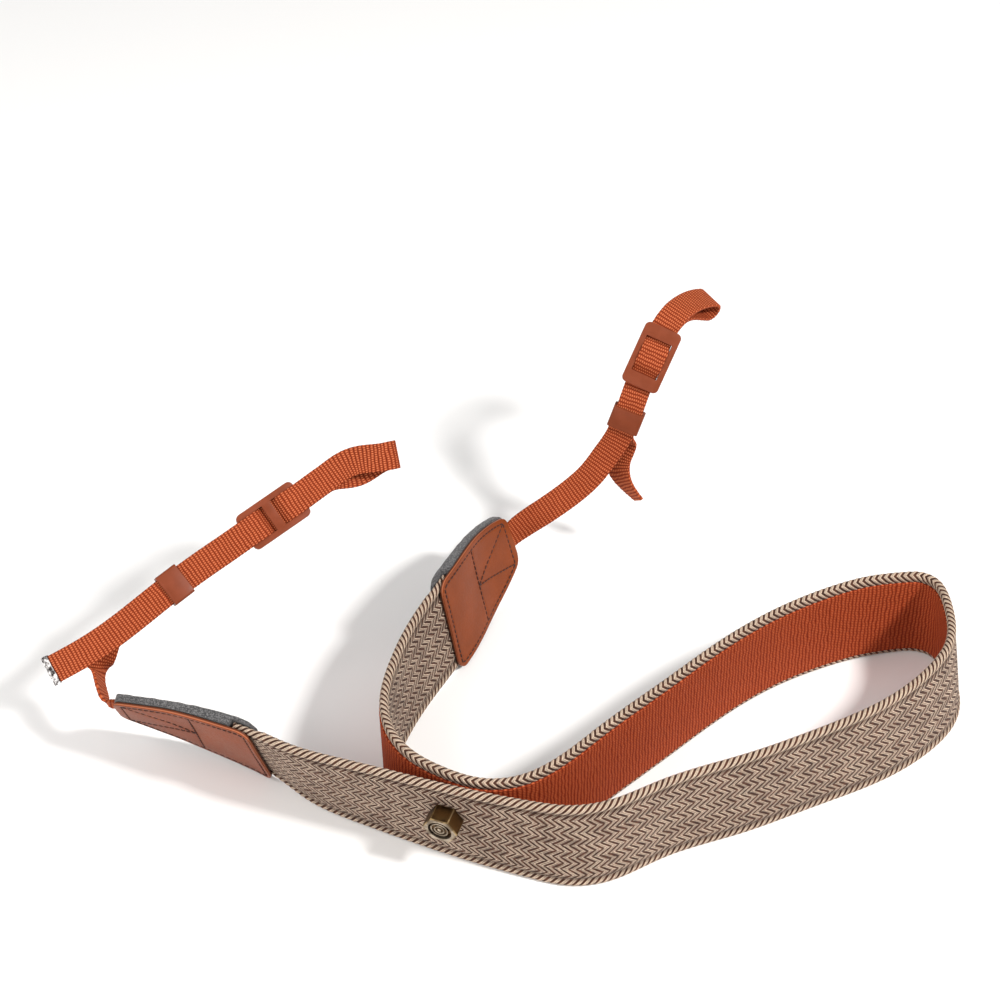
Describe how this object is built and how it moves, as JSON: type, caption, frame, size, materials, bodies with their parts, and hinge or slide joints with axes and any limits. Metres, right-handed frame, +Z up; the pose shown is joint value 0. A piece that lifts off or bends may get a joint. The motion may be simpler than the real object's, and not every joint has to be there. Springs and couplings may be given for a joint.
{
  "type": "camera neck strap",
  "caption": "Wide herringbone camera neck strap with an orange lining, leather tabs, webbing ends, slide buckles and a brass stud, standing on its edge in one open loop.",
  "frame": {"origin": "middle of the inside of the left lug loop", "axes": "+X to the right in the picture along the loop's length, +Y away from the viewer, +Z up; the band stands on its edge 80 mm below the origin"},
  "size_m": [0.3417, 0.2282, 0.1012],
  "materials": {
    "herringbone_cloth": "herringbone weave in cream and dark brown, rolled rims",
    "lining_cloth": "burnt orange, fine cross ribs",
    "tan_leather": "smooth saddle tan, soft sheen, stitched",
    "grey_backing": "dark grey felt, matt",
    "orange_webbing": "ribbed narrow webbing, matt",
    "moulded_plastic": "satin moulded terracotta plastic",
    "foil_tip": "crimped clear film over silver foil",
    "antique_brass": "antique brass, brown patina, worn edges"
  },
  "bodies": {
    "root": {"strap_face": "herringbone_cloth", "strap_lining": "lining_cloth", "tab_front_left": "tan_leather", "tab_front_right": "tan_leather", "tab_back_left": "grey_backing", "tab_back_right": "grey_backing", "webbing_left": "orange_webbing", "webbing_right": "orange_webbing", "buckle_left": "moulded_plastic", "buckle_right": "moulded_plastic", "keeper_left": "moulded_plastic", "keeper_right": "moulded_plastic", "webbing_tip_left": "foil_tip", "stud": "antique_brass"}
  },
  "joints": []
}
